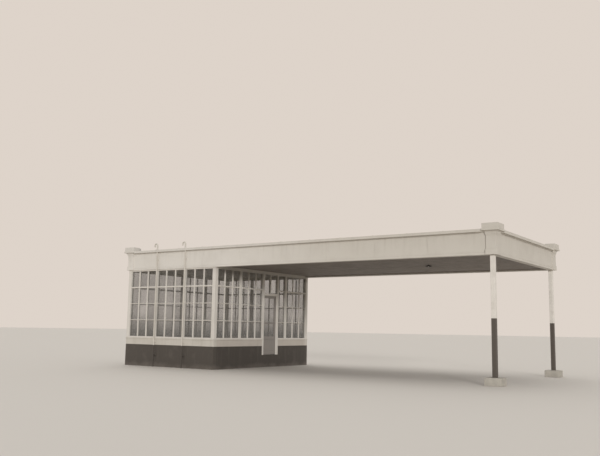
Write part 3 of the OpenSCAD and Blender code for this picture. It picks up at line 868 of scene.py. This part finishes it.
def lamp_bulb():
    """The bulb in the reflector of the soffit lamp, with its neck."""
    radius = 0.024
    tip_r = 0.002
    tip_z = -0.066
    neck_r = 0.013
    neck_z = (-0.020, -0.012)
    steps = 10
    centre = Vector(((lamp_low.x + lamp_high.x) / 2, (lamp_low.y + lamp_high.y) / 2, SOFFIT_Z))

    def build(bm):
        turns = [math.pi * k / steps for k in range(1, steps - 1)]
        profile = [(tip_r, tip_z)]
        profile += [(radius * math.sin(t), tip_z + radius * (1 - math.cos(t))) for t in turns]
        profile += [(neck_r, z) for z in neck_z]
        lathe(bm, centre, profile, sides=20)
    add("lamp_bulb", build, "bulb")


def door_mouldings():
    """A bead round the panel and each light of the door, on both faces."""
    size = 0.012
    split = leaf_low.z + DOOR_BAR_UP - LEAF_GAP
    panel_y = (panel_low.y, panel_high.y)
    light_y = (light_low.y, light_high.y)

    def ring(bm, x, outward, y, z):
        skin(bm, [[Vector((x, a, b)), Vector((x, a + da * size, b + db * size)),
                   Vector((x + outward * 0.6 * size, a + da * 0.8 * size, b + db * 0.8 * size)),
                   Vector((x + outward * size, a, b))] for a, b, da, db in corners(y, z)],
             closed=True)

    def build(bm):
        for outward, panel_x, light_x in ((-1, panel_low.x, light_low.x),
                                          (1, panel_high.x, light_high.x)):
            ring(bm, panel_x, outward, panel_y, (panel_low.z, panel_high.z))
            ring(bm, light_x, outward, light_y, (light_low.z, split - DOOR_BAR_H / 2))
            ring(bm, light_x, outward, light_y, (split + DOOR_BAR_H / 2, light_high.z))
    add("door_mouldings", build, "door_paint", "door")


def door_fittings():
    """The lock's plate under each knob, with its keyhole cover and its screws."""
    plate_half_w = 0.022
    plate_z = (-0.13, -0.035)
    plate_t = 0.0025
    worn = 0.001
    keyhole_z = -0.075
    keyhole_r = 0.009
    keyhole_h = 0.003
    screw_z = (-0.122, -0.043)
    screw_r = 0.004
    screw_h = 0.0012
    knob_low, knob_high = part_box("door_knobs")
    y = (knob_low.y + knob_high.y) / 2
    z = (knob_low.z + knob_high.z) / 2

    def build(bm):
        for x, outward in ((leaf_low.x, -1), (leaf_high.x, 1)):
            face_x = x + outward * plate_t
            put_box(bm, (x - outward * HAIR, y - plate_half_w, z + plate_z[0]),
                    (face_x, y + plate_half_w, z + plate_z[1]), worn)
            put_dome(bm, Vector((face_x, y, z + keyhole_z)), (outward, 0, 0),
                     keyhole_r, keyhole_h, sides=10)
            for dz in screw_z:
                put_dome(bm, Vector((face_x, y, z + dz)), (outward, 0, 0), screw_r, screw_h)
    add("door_fittings", build, "iron", "door")


# Edges of the part's own pieces


# How wide an edge is taken off, and on which nodes
EDGES = {
    0.0025: ("door_leaf",),
    0.003: ("fascia_front", "fascia_rear", "fascia_left", "fascia_right", "cornice",
            "window_front", "window_rear", "window_left", "window_right_front",
            "window_right_rear", "door_jambs", "fanlight"),
    0.004: ("corner_pilasters", "band_front", "band_rear", "band_left", "band_right_front",
            "band_right_rear"),
    0.005: ("corner_posts", "room_beam"),
    0.006: ("corner_caps",),
    0.007: ("canopy_post_front", "canopy_post_rear"),
    0.012: ("post_footings",),
}


def soften_edges():
    """Takes the edges off the solids, as paint and wear do."""
    same_point = 0.0001
    same_plane = math.radians(1)
    sharp = math.radians(40)
    for width, names in EDGES.items():
        for name in names:
            modifiers = nodes[name].modifiers
            weld = modifiers.new("weld", "WELD")
            weld.merge_threshold = same_point
            flat = modifiers.new("flat", "DECIMATE")
            flat.decimate_type = "DISSOLVE"
            flat.angle_limit = same_plane
            bevel = modifiers.new("bevel", "BEVEL")
            bevel.width = width
            bevel.segments = 2
            bevel.limit_method = "ANGLE"
            bevel.angle_limit = sharp


# Stage and light


def make_stage():
    """A wide plain floor on the ground."""
    size = 400
    mesh = bpy.data.meshes.new("floor")
    mesh.from_pydata([(-size, -size, 0), (size, -size, 0), (size, size, 0), (-size, size, 0)],
                     [], [(0, 1, 2, 3)])
    obj = bpy.data.objects.new("floor", mesh)
    bpy.context.scene.collection.objects.link(obj)
    mat, _, shader = new_material("floor")
    shader.inputs["Base Color"].default_value = (*FLOOR, 1)
    shader.inputs["Roughness"].default_value = 0.9
    mesh.materials.append(mat)


def make_world():
    """Even studio light, shown to the camera, and in and through the panes, as a pale backdrop."""
    world = bpy.data.worlds.new("studio")
    bpy.context.scene.world = world
    world.use_nodes = True
    tree = world.node_tree
    light = tree.nodes["Background"]
    light.inputs["Color"].default_value = (*STUDIO_LIGHT, 1)
    light.inputs["Strength"].default_value = STUDIO_STRENGTH
    backdrop = node(tree, "Background", Color=(*BACKDROP, 1))
    rays = tree.nodes.new("ShaderNodeLightPath").outputs
    seen = math_node(tree, "MAXIMUM", rays["Is Camera Ray"], rays["Is Transmission Ray"])
    seen = math_node(tree, "MAXIMUM", seen, rays["Is Glossy Ray"])
    choose = tree.nodes.new("ShaderNodeMixShader")
    link(tree, seen, choose.inputs[0])
    link(tree, light.outputs[0], choose.inputs[1])
    link(tree, backdrop.outputs[0], choose.inputs[2])
    link(tree, choose.outputs[0], tree.nodes["World Output"].inputs["Surface"])


def add_sun(name, azimuth, elevation, strength, size):
    """A soft light from a direction, whose disc leaves no bright spot in the panes."""
    data = bpy.data.lights.new(name, "SUN")
    data.energy = strength
    data.angle = math.radians(size)
    obj = bpy.data.objects.new(name, data)
    bpy.context.scene.collection.objects.link(obj)
    a, e = math.radians(azimuth), math.radians(elevation)
    towards = Vector((math.sin(a) * math.cos(e), -math.cos(a) * math.cos(e), math.sin(e)))
    obj.rotation_mode = "QUATERNION"
    obj.rotation_quaternion = towards.to_track_quat("Z", "Y")
    obj.visible_glossy = False


def make_camera():
    """The photograph's camera: turned by YAW from the rear, tipped up by PITCH, and rolled."""
    forward = Vector((-math.sin(YAW) * math.cos(PITCH), math.cos(YAW) * math.cos(PITCH),
                      math.sin(PITCH)))
    level = Vector((math.cos(YAW), math.sin(YAW), 0))
    over = level.cross(forward)
    right = math.cos(ROLL) * level + math.sin(ROLL) * over
    up = math.cos(ROLL) * over - math.sin(ROLL) * level
    data = bpy.data.cameras.new("camera")
    data.sensor_width = SENSOR_MM
    data.lens = FOCAL_PX / FRAME_PX * SENSOR_MM
    data.clip_end = CAMERA_REACH
    cam = bpy.data.objects.new("camera", data)
    bpy.context.scene.collection.objects.link(cam)
    turned = Matrix((right, up, -forward)).transposed().to_4x4()
    cam.matrix_world = Matrix.Translation(CAMERA_AT) @ turned
    bpy.context.scene.camera = cam


make_camera()
dress_nodes()
soften_edges()
window_panes()
glazing_putty()
bar_noses()
fascia_sheets()
cornice_returns()
cap_coves()
coping_flashing()
soffit_boarding()
roof_felt()
pipe_collars()
lamp_bulb()
door_mouldings()
door_fittings()
make_stage()
make_world()
for sun in SUNS:
    add_sun(*sun)
bpy.context.scene.view_settings.view_transform = "Standard"
